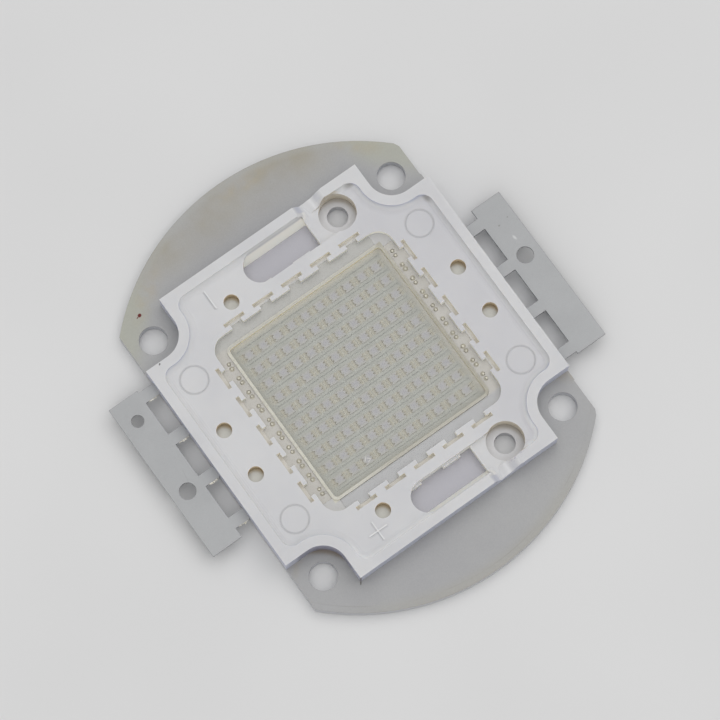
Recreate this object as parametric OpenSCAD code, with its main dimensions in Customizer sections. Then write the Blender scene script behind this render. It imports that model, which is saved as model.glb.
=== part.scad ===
// Ultraviolet LED: a square field of emitter chips bonded to a metal base plate, inside a white
// moulded frame. The chips are wired as series strings between two sheet-metal leads and sealed
// under clear silicone. Millimetres. The origin is the middle of the base plate's underside, +Z is
// the side that gives light, +X points to the positive lead and +Y to the frame's minus mark.

/* [Base plate] */
// Diameter of the base plate's round ends
base_d = 56; // [54.5:0.5:60]
// Width of the base plate across its flats, and of the frame on it
base_w = 40; // [39.6:0.2:42]
// Thickness of the base plate
base_t = 1.5; // [1:0.1:3]
// Spacing of the corner screw holes, both ways
screw_pitch = 34; // [33.4:0.2:34.6]
// Diameter of the corner screw holes
screw_hole_d = 3.4; // [2.8:0.1:4]
// Spacing of the two lens-holder holes
lens_pitch = 33.2; // [32.6:0.1:33.8]
// Distance of the lens-holder holes from the middle, towards the positive lead
lens_x = 9; // [8.5:0.05:9.4]
// Diameter of the lens-holder holes
lens_hole_d = 2.5; // [1.6:0.1:3.2]
// Depth of the step that the shear left at the ends of the positive flat
shear_step = 0.12; // [0.04:0.02:0.3]
// Half length of the positive flat between its shear steps
shear_y = 15.2; // [14.4:0.1:18]
// Size of the nick on the two corners of the positive flat
corner_nick = 0.45; // [0.2:0.05:0.8]
// Width of the lines scribed between the chips
scribe_w = 0.08; // [0.04:0.01:0.2]
// Depth of the scribed lines
scribe_d = 0.04; // [0.02:0.01:0.1]

/* [Frame] */
// Height of the frame's tray floor above the base plate
floor_h = 2; // [1.8:0.1:3]
// Height of the rim above the tray floor
rim_h = 0.8; // [0.4:0.1:1.4]
// Width of the rim's flat top
rim_w = 1.2; // [0.8:0.1:1.4]
// Run of the rim's hollow inner wall, from its top to the tray floor
rim_run = 0.9; // [0.3:0.1:1]
// Radius of the rim's inner corners at the tray floor
rim_r = 0.5; // [0.3:0.1:0.8]
// Radius of the room left around each corner screw
corner_r = 3.1; // [2.6:0.1:3.4]
// Distance of the ejector marks from the middle, in X
mark_x = 16; // [15.4:0.1:16.2]
// Distance of the ejector marks from the middle, in Y
mark_y = 10; // [9.4:0.1:10.4]
// Diameter of the ejector marks
mark_d = 3.6; // [2.6:0.1:3.7]
// Width of the groove round an ejector mark
mark_groove_w = 0.3; // [0.1:0.02:0.4]
// Depth of the groove round an ejector mark
mark_groove_d = 0.08; // [0.04:0.01:0.2]
// Diameter of the moulded posts that lock the frame to the base plate
post_d = 2.2; // [1.6:0.1:2.6]
// Diameter of the flared foot of a post
post_foot_d = 3.2; // [2.8:0.1:4]
// Height of the flare
post_flare_h = 0.6; // [0.3:0.1:0.8]
// Gap from the foot of a post to the base plate's underside
post_recess = 0.05; // [0.02:0.01:0.2]
// Length of the polarity marks
sign_l = 2.5; // [1.6:0.1:2.6]
// Width and height of the polarity marks' ridges
sign_w = 0.16; // [0.1:0.02:0.3]
// Distance of the polarity marks from the middle, away from the positive lead
sign_x = 9.05; // [8.8:0.05:10]
// Distance of the polarity marks from the middle, in Y
sign_y = 16.65; // [16.2:0.05:16.8]

/* [Windows] */
// Length of the windows that show the base plate
window_l = 9.35; // [8.6:0.05:9.6]
// Distance of a window's square end from the middle, towards the positive lead
window_end_x = 5.35; // [5:0.05:5.8]
// Wall between the keys and a window
window_wall = 1.25; // [0.8:0.05:1.6]
// Width of a window at the tray floor
window_w = 4; // [3.4:0.1:4.2]
// Width of the frame between a window and its outer face
window_edge = 1.35; // [1.3:0.05:1.8]
// Run of the window's sloping outer wall, from the tray floor to the base plate
window_run = 0.7; // [0.2:0.1:1]
// Reach of the two low ledges on the window's inner wall
ledge_reach = 0.3; // [0.1:0.05:0.5]
// Height of the ledges above the base plate
ledge_h = 1.1; // [0.6:0.1:1.5]
// Length of the ledge near the window's round end
short_ledge_l = 1.7; // [1:0.1:2.2]
// Length of the ledge near the window's square end
long_ledge_l = 2.4; // [1.6:0.1:2.8]
// Distance between the two ledges
ledge_gap = 3.1; // [2.4:0.1:3.3]
// Distance of the long ledge from the window's square end
ledge_end = 1.5; // [1.3:0.1:1.8]
// Diameter of the openings over the lens-holder holes
lens_opening_d = 4.5; // [3.8:0.1:4.6]
// Height of the gate trough above the base plate
gate_h = 1.2; // [0.9:0.1:1.5]
// Width of the gate notch at the top of the rim
gate_w = 4; // [3:0.1:4.2]
// Distance of the gate notch from the middle, towards the positive lead
gate_x = 6.9; // [6.6:0.05:7.1]
// Slope of the gate notch's two sides, as a run from its floor to the rim's top
gate_run = 0.45; // [0.2:0.05:0.7]
// Size of the torn stub that is left in the gate notch
stub_l = 1.5; // [0.8:0.1:1.8]
// Height of the stub's low part
stub_h = 0.2; // [0.1:0.05:0.4]
// Height of the stub's torn ridge
stub_ridge_h = 0.35; // [0.25:0.05:0.8]

/* [Leads] */
// Thickness of the lead sheet
lead_t = 0.3; // [0.2:0.05:0.5]
// Height of the leads above the base plate
lead_lift = 0.5; // [0.3:0.05:0.7]
// Length of the legs between the frame and a tab
leg_l = 2; // [1.5:0.1:3]
// Width of a leg
leg_w = 1.5; // [1:0.1:2]
// Spacing of the legs
leg_pitch = 6; // [5.8:0.1:6.1]
// Width of a tab
tab_w = 4; // [3:0.1:6]
// Reach of a tab past the middle of its outermost leg, at its short end
tab_short_end = 1.05; // [1:0.05:1.5]
// Reach of a tab past the middle of its outermost leg, at its long end
tab_long_end = 1.95; // [1:0.05:3]
// Diameter of the solder hole in each tab
tab_hole_d = 2; // [1:0.1:2.4]
// Diameter of the negative tab's second hole
mark_hole_d = 1.5; // [0.8:0.1:2]
// Distance between the negative tab's two holes
mark_hole_y = 10.05; // [8:0.05:11]
// Width of lead sheet that is left around the keys and access holes
lead_margin = 0.6; // [0.4:0.05:0.7]
// Gap between the two leads where one ends beside the other
lead_gap = 0.65; // [0.4:0.05:1]
// Diameter of the access holes over the leads
access_d = 1.85; // [1.2:0.05:2.2]
// Distance of the side access holes from the middle, in X
access_x = 16.6; // [16:0.1:16.8]
// Distance of the side access holes from the middle, in Y
access_y = 3.15; // [2.6:0.05:4.5]
// Distance of the end access holes from the middle, away from the positive lead
ear_x = 7.2; // [6.8:0.05:7.3]
// Distance of the end access holes from the middle, in Y
ear_y = 15.05; // [15:0.05:16.2]

/* [Chips] */
// Chips in a string, and strings side by side
chip_n = 10; // [8:1:10]
// Spacing of the chips, both ways
chip_pitch = 2; // [1.8:0.05:2.05]
// Width of a chip
chip_w = 1.14; // [0.9:0.02:1.3]
// Thickness of a chip
chip_t = 0.15; // [0.1:0.01:0.25]
// Distance of the bond pads from the chip's edge
pad_edge = 0.09; // [0.09:0.01:0.16]
// Spacing of a chip's two bond pads on the side of the positive lead
pad_pair_out = 0.42; // [0.3:0.02:0.6]
// Spacing of a chip's two bond pads on the side of the negative lead
pad_pair_in = 0.6; // [0.4:0.02:0.7]
// Diameter of a bond on a lead
lead_bond_d = 0.44; // [0.3:0.02:0.5]
// Height of a bond on a lead
lead_bond_h = 0.14; // [0.1:0.01:0.18]
// Distance of the bonds on a lead from the dam
lead_bond_in = 0.57; // [0.4:0.01:0.7]
// Spacing of a string's two bonds on a lead
lead_bond_pair = 0.64; // [0.54:0.02:0.8]
// Diameter of the bond wire
wire_d = 0.04; // [0.025:0.005:0.05]

/* [Cavity] */
// Margin between the chip field and the dam
well_margin = 0.7; // [0.4:0.1:0.8]
// Radius of the well's corners
well_r = 0.5; // [0.2:0.1:1]
// Thickness of the dam round the chips
dam_t = 0.35; // [0.25:0.05:0.45]
// Height of the dam above the leads
dam_h = 0.3; // [0.1:0.05:0.5]
// Width of the leads that shows beside the dam
bus_w = 1.35; // [1:0.05:1.45]
// Radius of the cavity's corners
cavity_r = 2; // [1.5:0.1:3]
// Keys on each side of the cavity
key_n = 5; // [3:1:5]
// Spacing of the keys
key_pitch = 4.08; // [3.8:0.02:4.2]
// Width of a key's neck
key_neck_w = 1.5; // [1:0.1:2]
// Length of a key's neck
key_neck_l = 0.55; // [0.3:0.05:0.6]
// Width of a key's bar
key_bar_w = 2.8; // [2.2:0.1:3]
// Thickness of a key's bar
key_bar_t = 0.45; // [0.3:0.05:0.5]
// Margin between a key's bar and the slot for it in the lead
key_margin = 0.05; // [0.02:0.01:0.1]
// Drop of the silicone below the tray floor
fill_drop = 0.05; // [0.02:0.01:0.3]

/* [Hidden] */
$fn = 64;
// Overshoot of a cut past the face it opens, and of a blend past the walls it joins
over = 0.01;
// Facets down the rim's hollow inner wall
cove_n = 5;
// Share of a bond's width that is left at its top
bond_top = 0.6;
// Sides of a bond wire's section
wire_sides = 6;
// Facets round a bond and along a wire's bend
bond_fn = 32;

half_w = base_w / 2;
screw_at = screw_pitch / 2;
lens_y = lens_pitch / 2;
base_corner_y = sqrt(pow(base_d / 2, 2) - pow(half_w, 2));

floor_z = base_t + floor_h;
rim_z = floor_z + rim_h;
lead_z = base_t + lead_lift;
lead_top = lead_z + lead_t;
dam_z = lead_top + dam_h;
fill_z = floor_z - fill_drop;
chip_top = base_t + chip_t;
gate_z = base_t + gate_h;

// Width of the rim at the tray floor
rim_foot = rim_w + rim_run;

// The rim's hollow inner wall, a quarter oval, as points from the tray floor to the rim's top: how far
// each lies inside the top's inner edge, and its height
cove = [
  for (step = [cove_n : -1 : 0])
    [rim_run * (1 - cos(90 * step / cove_n)), rim_z - rim_h * sin(90 * step / cove_n)]
];

arm_half = screw_at - corner_r;

field_w = chip_n * chip_pitch;
well_w = field_w + 2 * well_margin;
dam_w = well_w + 2 * dam_t;
cavity_w = dam_w + 2 * bus_w;
key_bar_in = cavity_w / 2 + key_neck_l;
key_bar_out = key_bar_in + key_bar_t;

// From the keys outwards: a window, then the frame's end
window_in = key_bar_out + window_wall;
window_out = window_in + window_w;
frame_y = window_out + window_edge;

// Lead sheet: edge outside the keys, edge under the frame's side, and the tab beyond the legs
sheet_out = key_bar_out + lead_margin;
sheet_side = half_w - rim_w - lead_margin;
tab_in = half_w + leg_l;
tab_mid = tab_in + tab_w / 2;
leg_rows = [-1, 0, 1, 2];
ear_w = access_d + 2 * lead_margin;

pad_reach = chip_w / 2 - pad_edge;
lead_bond_x = dam_w / 2 + lead_bond_in;
chip_rows = [1 : chip_n];

// Name of a row's node, such as chip_row_01
function row_name(kind, row) = str(kind, "_row_", row < 10 ? "0" : "", row);

// Place of a chip's middle along its string, or of a string across the field
function chip_at(index) = (index - (chip_n + 1) / 2) * chip_pitch;

// Helpers

// The children and their mirror image across the XZ plane
module both_ends() {
  children();
  mirror([0, 1, 0])
    children();
}

// The children in each of the four quadrants
module quadrants() {
  for (x = [0, 1])
    mirror([x, 0, 0])
      both_ends()
        children();
}

module rounded_square(w, r) {
  square([w, w - 2 * r], center = true);
  square([w - 2 * r, w], center = true);
  for (x = [-1, 1], y = [-1, 1])
    translate([x, y] * (w / 2 - r))
      circle(r);
}

// A flat shape raised between two heights
module slab(low, high) {
  translate([0, 0, low])
    linear_extrude(high - low)
      children();
}

// A section drawn in Y and Z, carried along X from one place to another
module along_x(from, to) {
  translate([from, 0, 0])
    rotate([90, 0, 90])
      linear_extrude(to - from)
        children();
}

// Base plate

module base_outline() {
  difference() {
    intersection() {
      circle(d = base_d, $fn = 180);
      square([base_w, base_d], center = true);
    }
    both_ends() {
      translate([half_w - shear_step, shear_y])
        square(base_d);
      polygon([
        [half_w, base_corner_y - corner_nick],
        [half_w + corner_nick, base_corner_y + corner_nick],
        [half_w - corner_nick, base_corner_y + corner_nick * half_w / base_corner_y]
      ]);
    }
  }
}

module scribed_lines() {
  line_l = field_w + scribe_w;
  for (line = [0 : chip_n]) {
    at = chip_at(line + 0.5);
    translate([0, at])
      square([line_l, scribe_w], center = true);
    translate([at, 0])
      square([scribe_w, line_l], center = true);
  }
}

// A moulded post through the base plate, with a flared foot that starts at the height low
module post(low, high) {
  flare = (post_foot_d - post_d) / post_flare_h;
  translate([mark_x, mark_y, 0]) {
    translate([0, 0, low])
      cylinder(d = post_d, h = high - low);
    translate([0, 0, low])
      cylinder(d1 = post_foot_d - flare * low, d2 = post_d, h = post_flare_h - low);
  }
}

module base_plate() {
  color("silver")
    difference() {
      slab(0, base_t)
        difference() {
          base_outline();
          quadrants()
            translate([screw_at, screw_at])
              circle(d = screw_hole_d);
          both_ends()
            translate([lens_x, lens_y])
              circle(d = lens_hole_d);
        }
      slab(base_t - scribe_d, base_t + over)
        scribed_lines();
      quadrants()
        post(-over, base_t + over);
    }
}

// Frame

module frame_outline() {
  difference() {
    square([base_w, 2 * frame_y], center = true);
    quadrants() {
      translate([screw_at, screw_at])
        circle(corner_r);
      translate([arm_half, screw_at])
        square(base_w);
      translate([screw_at, arm_half])
        square(base_w);
    }
  }
}

// Section of what stands in the tray beyond a wall: the wall goes down from out, and solid lies
// from there to past the frame's outer face
module wall_section(out) {
  polygon(concat(
    [[out - rim_foot, floor_z - over]],
    [for (point = cove) [out - rim_w - point[0], point[1]]],
    [[out - rim_w, rim_z + over], [base_w, rim_z + over], [base_w, floor_z - over]]
  ));
}

// What stands in the tray at a corner: the rim round the corner screw and everything beyond it
module tray_corner() {
  translate([screw_at, screw_at, 0])
    rotate([0, 0, 180])
      rotate_extrude(angle = 90)
        polygon(concat(
          [[0, rim_z + over], [0, floor_z - over], [corner_r + rim_foot, floor_z - over]],
          [for (point = cove) [corner_r + rim_w + point[0], point[1]]],
          [[corner_r + rim_w, rim_z + over]]
        ));
  along_x(screw_at, base_w)
    wall_section(arm_half);
  mirror([1, -1, 0])
    along_x(screw_at, base_w)
      wall_section(arm_half);
}

// The blend in the tray's inner corner, where the wall beside a corner screw meets an arm's end
// that has its outer face at out
module tray_blend(out) {
  foot = rim_foot + rim_r;
  r = rim_r + rim_run + over;
  translate([arm_half - foot, out - foot, 0])
    difference() {
      translate([0, 0, floor_z - over])
        cube([2 * foot, 2 * foot, rim_h + 2 * over]);
      rotate_extrude()
        polygon(concat(
          [[0, rim_z + 2 * over], [0, floor_z - 2 * over], [r - rim_run, floor_z - 2 * over]],
          [for (point = cove) [r - point[0], point[1]]],
          [[r, rim_z + 2 * over]]
        ));
    }
}

// The room between two rims that face each other, with their outer faces at out, carried along X
module tray_run(out, reach) {
  top = [[out - rim_w, rim_z + over], [rim_w - out, rim_z + over]];
  along_x(-reach, reach)
    polygon(concat(
      [for (point = cove) [out - rim_w - point[0], point[1]]],
      top,
      [for (step = [cove_n : -1 : 0]) [rim_w + cove[step][0] - out, cove[step][1]]]
    ));
}

// The room inside the rim, down to the tray floor
module tray() {
  difference() {
    intersection() {
      tray_run(frame_y, half_w);
      rotate([0, 0, 90])
        tray_run(half_w, frame_y);
    }
    quadrants() {
      tray_corner();
      tray_blend(frame_y);
      mirror([1, -1, 0])
        tray_blend(half_w);
    }
  }
}

module cavity_outline() {
  rounded_square(cavity_w, cavity_r);
  for (turn = [0 : 3], key = [0 : key_n - 1])
    rotate(90 * turn)
      translate([(key - (key_n - 1) / 2) * key_pitch, 0]) {
        translate([-key_neck_w / 2, 0])
          square([key_neck_w, key_bar_in + over]);
        translate([-key_bar_w / 2, key_bar_in])
          square([key_bar_w, key_bar_t]);
      }
}

// The wall between the chips and the leads, above the height low
module dam(low) {
  slab(low, dam_z)
    difference() {
      rounded_square(dam_w, well_r + dam_t);
      rounded_square(well_w, well_r);
    }
}

module window() {
  r = window_w / 2;
  round_x = window_end_x - window_l + r;
  difference() {
    slab(base_t - over, rim_z + over) {
      translate([round_x, window_in + r])
        circle(r);
      translate([round_x, window_in])
        square([window_end_x - round_x, window_w]);
    }
    along_x(-half_w, half_w)
      polygon([
        [window_out, floor_z],
        [window_out - window_run, base_t],
        [window_out - window_run, 0],
        [frame_y, 0],
        [frame_y, floor_z]
      ]);
  }
}

module window_ledges() {
  long_x = window_end_x - ledge_end - long_ledge_l;
  short_x = long_x - ledge_gap - short_ledge_l;
  for (ledge = [[long_x, long_ledge_l], [short_x, short_ledge_l]])
    translate([ledge[0], window_in - over, base_t])
      cube([ledge[1], ledge_reach + over, ledge_h]);
}

module lens_opening() {
  translate([lens_x, lens_y, base_t - over])
    cylinder(d = lens_opening_d, h = rim_z);
}

// The trough that the plastic was fed through, and its notch in the rim
module gate() {
  notch_half = gate_w / 2;
  translate([window_end_x - over, window_in, gate_z])
    cube([lens_x - window_end_x, window_w, rim_z]);
  translate([gate_x, frame_y + over, 0])
    rotate([90, 0, 0])
      linear_extrude(frame_y + over - window_out + rim_run)
        polygon([
          [-notch_half, rim_z],
          [-notch_half, rim_z + over],
          [notch_half, rim_z + over],
          [notch_half, rim_z],
          [notch_half - gate_run, gate_z],
          [-notch_half + gate_run, gate_z]
        ]);
}

// What was left when the feed was broken off: a low slab with a smaller torn ridge on it
module gate_stub() {
  translate([gate_x, frame_y - rim_w, gate_z - over])
    scale(stub_l) {
      linear_extrude(stub_h / stub_l)
        polygon([[0.05, 0.1], [0.3, 0.3], [0.52, 0.62], [0.95, 0.5], [0.9, 0.02], [0.5, -0.12]]);
      linear_extrude(stub_ridge_h / stub_l)
        polygon([[0.34, 0.12], [0.5, 0.34], [0.82, 0.3], [0.7, 0.06]]);
    }
}

module access_holes() {
  quadrants()
    translate([access_x, access_y, lead_top])
      cylinder(d = access_d, h = rim_z);
  both_ends()
    translate([-ear_x, ear_y, lead_top])
      cylinder(d = access_d, h = rim_z);
}

module ejector_mark() {
  middle = (mark_d - mark_groove_w) / 2;
  translate([mark_x, mark_y, floor_z])
    rotate_extrude()
      polygon([
        [middle - mark_groove_w / 2, 0],
        [middle, -mark_groove_d],
        [middle + mark_groove_w / 2, 0],
        [middle, over]
      ]);
}

module polarity_marks() {
  slab(floor_z - over, floor_z + sign_w) {
    translate([-sign_x, sign_y])
      square([sign_w, sign_l], center = true);
    translate([-sign_x, -sign_y]) {
      square([sign_w, sign_l], center = true);
      square([sign_l, sign_w], center = true);
    }
  }
}

module frame() {
  color("white")
    difference() {
      union() {
        difference() {
          slab(base_t, rim_z)
            frame_outline();
          tray();
          slab(lead_top, rim_z)
            cavity_outline();
          slab(base_t - over, rim_z)
            rounded_square(well_w, well_r);
          both_ends() {
            window();
            lens_opening();
            gate();
          }
          access_holes();
          quadrants()
            ejector_mark();
        }
        dam(base_t);
        both_ends() {
          window_ledges();
          gate_stub();
        }
        polarity_marks();
        quadrants()
          post(post_recess, base_t + over);
      }
      slab(lead_z, lead_top) {
        negative_sheet();
        positive_sheet();
      }
    }
}

// Leads

// A lead's flat pattern, drawn for the negative side: bus on the left, band along the +Y end.
// ear_at is the place of its end access hole, and holes lists the tab's holes as [y, diameter]
module lead_sheet(ear_at, holes) {
  bus_end = well_w / 2 - lead_gap + dam_t;
  leg_half = leg_w / 2;
  plate_low = leg_rows[0] * leg_pitch - leg_w;
  plate_high = leg_rows[3] * leg_pitch + leg_half;
  tab_low = leg_rows[0] * leg_pitch - tab_long_end;
  tab_high = leg_rows[3] * leg_pitch + tab_short_end;
  difference() {
    union() {
      translate([-sheet_out, -bus_end])
        square([sheet_out - well_w / 2, bus_end + sheet_out]);
      translate([-sheet_out, well_w / 2])
        square([sheet_out + bus_end, sheet_out - well_w / 2]);
      translate([-sheet_side, plate_low])
        square([sheet_side - well_w / 2, plate_high - plate_low]);
      translate([ear_at - ear_w / 2, well_w / 2])
        square([ear_w, ear_y + ear_w / 2 - well_w / 2]);
      for (row = leg_rows)
        translate([-tab_in - over, row * leg_pitch - leg_half])
          square([tab_in - sheet_side + 2 * over, leg_w]);
      translate([-tab_in - tab_w, tab_low])
        square([tab_w, tab_high - tab_low]);
    }
    rounded_square(dam_w, well_r + dam_t);
    quadrants()
      translate([mark_x, mark_y])
        circle(d = post_d + lead_margin);
    for (turn = [0, 1], key = [0 : key_n - 1])
      rotate(90 * turn)
        translate([(key - (key_n - 1) / 2) * key_pitch, key_bar_in + key_bar_t / 2])
          square([key_bar_w, key_bar_t] + [2, 2] * key_margin, center = true);
    for (hole = holes)
      translate([-tab_mid, hole[0]])
        circle(d = hole[1]);
  }
}

module negative_sheet() {
  lead_sheet(-ear_x, [[0, tab_hole_d], [mark_hole_y, mark_hole_d]]);
}

module positive_sheet() {
  rotate(180)
    lead_sheet(ear_x, [[0, tab_hole_d]]);
}

module negative_lead() {
  color("lightgray")
    slab(lead_z, lead_top)
      negative_sheet();
}

module positive_lead() {
  color("lightgray")
    slab(lead_z, lead_top)
      positive_sheet();
}

// Chips and wires

module chip_row(row) {
  color("lightsteelblue")
    for (chip = chip_rows)
      translate([chip_at(chip), chip_at(row), base_t])
        translate([-chip_w / 2, -chip_w / 2, 0])
          cube([chip_w, chip_w, chip_t]);
}

// A fine wire bent in an arc in the XZ plane, about a centre given in X and Z
module wire_arc(centre, r, from, sweep) {
  translate([centre[0], 0, centre[1]])
    rotate([90, 0, 0])
      rotate([0, 0, from])
        rotate_extrude(angle = sweep, $fn = bond_fn)
          translate([r, 0])
            circle(d = wire_d, $fn = wire_sides);
}

// One bond wire between two chips: a half circle that stands on both
module chip_wire(a, b) {
  r = norm(b - a) / 2;
  translate(a)
    rotate([0, 0, atan2(b[1] - a[1], b[0] - a[0])])
      wire_arc([r, 0], r, 0, 180);
}

// One bond wire from a chip over the dam to its bond on a lead: two quarter circles that meet at its top
module lead_wire(chip, lead) {
  run = norm([lead[0] - chip[0], lead[1] - chip[1]]);
  rise = lead[2] + lead_bond_h - chip[2];
  chip_arc = (run + rise) / 2;
  lead_arc = (run - rise) / 2;
  translate(chip)
    rotate([0, 0, atan2(lead[1] - chip[1], lead[0] - chip[0])]) {
      wire_arc([chip_arc, 0], chip_arc, 90, 90);
      wire_arc([chip_arc, rise], lead_arc, 0, 90);
    }
  translate(lead)
    cylinder(d1 = lead_bond_d, d2 = lead_bond_d * bond_top, h = lead_bond_h, $fn = bond_fn);
}

// The two wires of each link in a string: lead to chip, chip to chip, and chip to lead
module wire_row(row) {
  y = chip_at(row);
  color("gold")
    for (side = [-0.5, 0.5]) {
      out_y = y + side * pad_pair_out;
      in_y = y + side * pad_pair_in;
      lead_y = y + side * lead_bond_pair;
      lead_wire([chip_at(1) - pad_reach, in_y, chip_top], [-lead_bond_x, lead_y, lead_top]);
      for (chip = [1 : chip_n - 1])
        chip_wire(
          [chip_at(chip) + pad_reach, out_y, chip_top],
          [chip_at(chip + 1) - pad_reach, in_y, chip_top]
        );
      lead_wire([chip_at(chip_n) + pad_reach, out_y, chip_top], [lead_bond_x, lead_y, lead_top]);
    }
}

// Silicone

module encapsulant() {
  color([0.9, 0.92, 0.96, 0.4])
    difference() {
      union() {
        slab(base_t, fill_z)
          rounded_square(well_w, well_r);
        slab(lead_top, fill_z)
          cavity_outline();
      }
      dam(base_t - over);
      for (row = chip_rows) {
        chip_row(row);
        wire_row(row);
      }
    }
}

base_plate();
frame();
negative_lead();
positive_lead();
encapsulant();
for (row = chip_rows) chip_row(row);
for (row = chip_rows) wire_row(row);
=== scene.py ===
"""Looks of the ultraviolet LED: finishes, silicone, wire bonds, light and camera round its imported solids."""

import math
import random

import bmesh
import bpy
from mathutils import Matrix, Vector, noise


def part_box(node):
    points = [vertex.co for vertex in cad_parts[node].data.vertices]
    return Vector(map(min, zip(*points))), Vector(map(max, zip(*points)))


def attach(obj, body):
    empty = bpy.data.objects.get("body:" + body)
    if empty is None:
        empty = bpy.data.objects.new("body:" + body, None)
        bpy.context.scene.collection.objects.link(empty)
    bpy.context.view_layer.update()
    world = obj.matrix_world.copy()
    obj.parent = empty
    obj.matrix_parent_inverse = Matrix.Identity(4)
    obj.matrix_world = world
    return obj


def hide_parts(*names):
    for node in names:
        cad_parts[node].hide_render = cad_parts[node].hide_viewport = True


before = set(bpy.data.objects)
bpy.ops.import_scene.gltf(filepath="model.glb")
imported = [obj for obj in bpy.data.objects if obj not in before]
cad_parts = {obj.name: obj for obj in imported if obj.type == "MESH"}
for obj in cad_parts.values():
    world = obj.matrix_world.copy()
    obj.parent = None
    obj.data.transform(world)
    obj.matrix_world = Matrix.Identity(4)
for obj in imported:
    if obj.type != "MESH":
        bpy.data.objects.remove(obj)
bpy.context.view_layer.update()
MM = 0.001


def box(node):
    """A node's lowest and highest corners, in millimetres."""
    return [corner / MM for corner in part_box(node)]


# Measures from the frame, in millimetres
chip_rows = sorted(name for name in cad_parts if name.startswith("chip_row"))
wire_rows = sorted(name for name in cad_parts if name.startswith("wire_row"))
base_top = box("base_plate")[1].z
lead_top = box("negative_lead")[1].z
fill_top = box("encapsulant")[1].z
rim_top = box("frame")[1].z
frame_half = box("frame")[1].x
chip_low, chip_high = box(chip_rows[0])
chip_top = chip_high.z
chip_w = chip_high.y - chip_low.y
chip_n = len(chip_rows)
chip_pitch = (chip_high.x - chip_low.x - chip_w) / (chip_n - 1)
field_half = chip_n * chip_pitch / 2

# The cavity and its dam, in millimetres
well_w = 2 * field_half + 1.4
well_r = 0.5
dam_t = 0.35
dam_top = lead_top + 0.3
dam_side = (10.2, 10.7)
band_side = (10.9, 11.2)
tray_floor = fill_top + 0.05
key_in = 12.95
cavity_half = 14.0
solder_half = (0.62, 0.42)

# The wire bonds, in millimetres, with the stitches' spread in place and in size
pad_reach = chip_w / 2 - 0.09
pad_pair_out = 0.42
pad_pair_in = 0.6
ball_d = 0.17
ball_h = 0.06
foot_d = 0.44
stitch_d = 0.62
stitch_h = 0.05
stitch_off = (0.05, 0.04)
stitch_sizes = (0.88, 1.08)
embed = 0.01

# Openings and marks of the frame on the plan, in millimetres
rim_w = 1.1
skin_t = 0.9
window_x = (-4.0, 5.35)
window_y = (14.65, 18.65)
lens_at = (9.0, 16.6)
lens_r = 2.25
access_at = (16.6, 3.15)
ear_at = (-7.2, 15.05)
access_r = 0.93
access_holes = [(sx * access_at[0], sy * access_at[1]) for sx in (-1, 1) for sy in (-1, 1)]
access_holes += [(ear_at[0], sy * ear_at[1]) for sy in (-1, 1)]
sign_at = (-9.05, 16.65)
sign_half = 1.25
stroke_half = 0.09
stroke_shade = 0.2
mark_at = (16.0, 10.0)
mark_r = 1.65
corner_hole_at = (17.0, 17.0)
low_corner_at = (-corner_hole_at[0], -corner_hole_at[1])
recess_r = 3.1
recess_reach = 5.0

# The gates: a torn slope from torn_x, with a step on it, and a round slope across from it, in millimetres
gate_floor = base_top + 1.2
gate_foot = gate_floor - 0.04
gate_rise = rim_top - 0.01 - gate_foot
patch_depth = 0.3
patch_inset = 0.03
patch_steps = (30, 16)
torn_x = (5.9, 9.3)
torn_in = 18.55
torn_slant = 0.35
step_h = 0.44
step_x = 7.3
crest_x = 8.9
lump_h = 0.05
lump_scales = (1.6, 5.0)
fine_share = 0.4
lens_gap = 0.05
lumps_from = (6.6, 7.4)
lumps_to = (8.3, 8.9)
round_start = 4.7
round_x = (4.75, 6.2)
round_y = (17.9, 18.85)

# Burrs on the negative lead's legs, in millimetres
leg_x = (-21.6, -20.2)
leg_y = (-6.75, -0.75, 5.25, 11.25)
burr_steps = 14
burr_jitter = 0.4
burr_reach = (0.06, 0.3)
burr_below = (0.06, 0.12)
burr_t = (0.05, 0.12)
burr_bank = 0.04
burr_taper = 0.06

# How edges are rounded and shaded: gap and radii in millimetres, angles in degrees
weld_gap = 0.0005
flat_below = 0.5
round_above = 35
base_edge = 0.08
frame_edge = 0.04
lead_edge = 0.05
fill_smooth = 30
bond_smooth = 60
gate_smooth = 50

# Marks and painted shades that the photo shows: place, half length and half width in millimetres, turn in
# degrees
base_stains = (
    ((-14.5, 22.0), (3.0, 1.0), 38),
    ((16.0, 22.3), (2.6, 0.9), -40),
    ((-18.6, -14.3), (1.2, 0.4), 40),
    ((19.6, -14.3), (1.5, 0.7), -40),
    ((2.0, 26.2), (3.4, 0.8), 0),
)
rust_speck = ((-16.6, 20.4), (0.24, 0.21), 20)
rust_tail = ((-16.95, 20.3), (0.14, 0.06), 15)
# Painted shade of the gap at the frame's corner, on the base and on the frame
corner_gap_shade = ((-13.98, -20.14), (0.24, 0.09), 54)
frame_gap_shade = ((-13.9, -20.0), (0.13, 0.13), 0)
well_specks = (((7.5, -10.0), (0.11, 0.08), 30), ((5.3, -10.1), (0.12, 0.06), 70))
chip_scratches = (
    ((-5.2, -8.8), (0.3, 0.05), 50),
    ((-4.85, -9.0), (0.3, 0.05), -40),
    ((-4.95, -9.25), (0.2, 0.05), 15),
)
rim_speck = ((-18.24, 13.68), (0.14, 0.08), 40)
# Painted shade in two corners of the tray under the rim
tray_corner_shades = (((12.15, 18.5), (0.7, 0.34), 0), ((18.5, 12.15), (0.7, 0.34), 90))
gate_bloom = ((8.8, -18.9), (0.9, 0.4), 5)
tab_rub = ((24.24, 2.42), (0.3, 0.13), 100)
tab_spots = (((23.6, 4.6), (0.12, 0.09), 0), ((25.0, 4.9), (0.1, 0.08), 0))
tab_scratch = ((-23.2, 1.5), (1.1, 0.05), 80)

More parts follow.
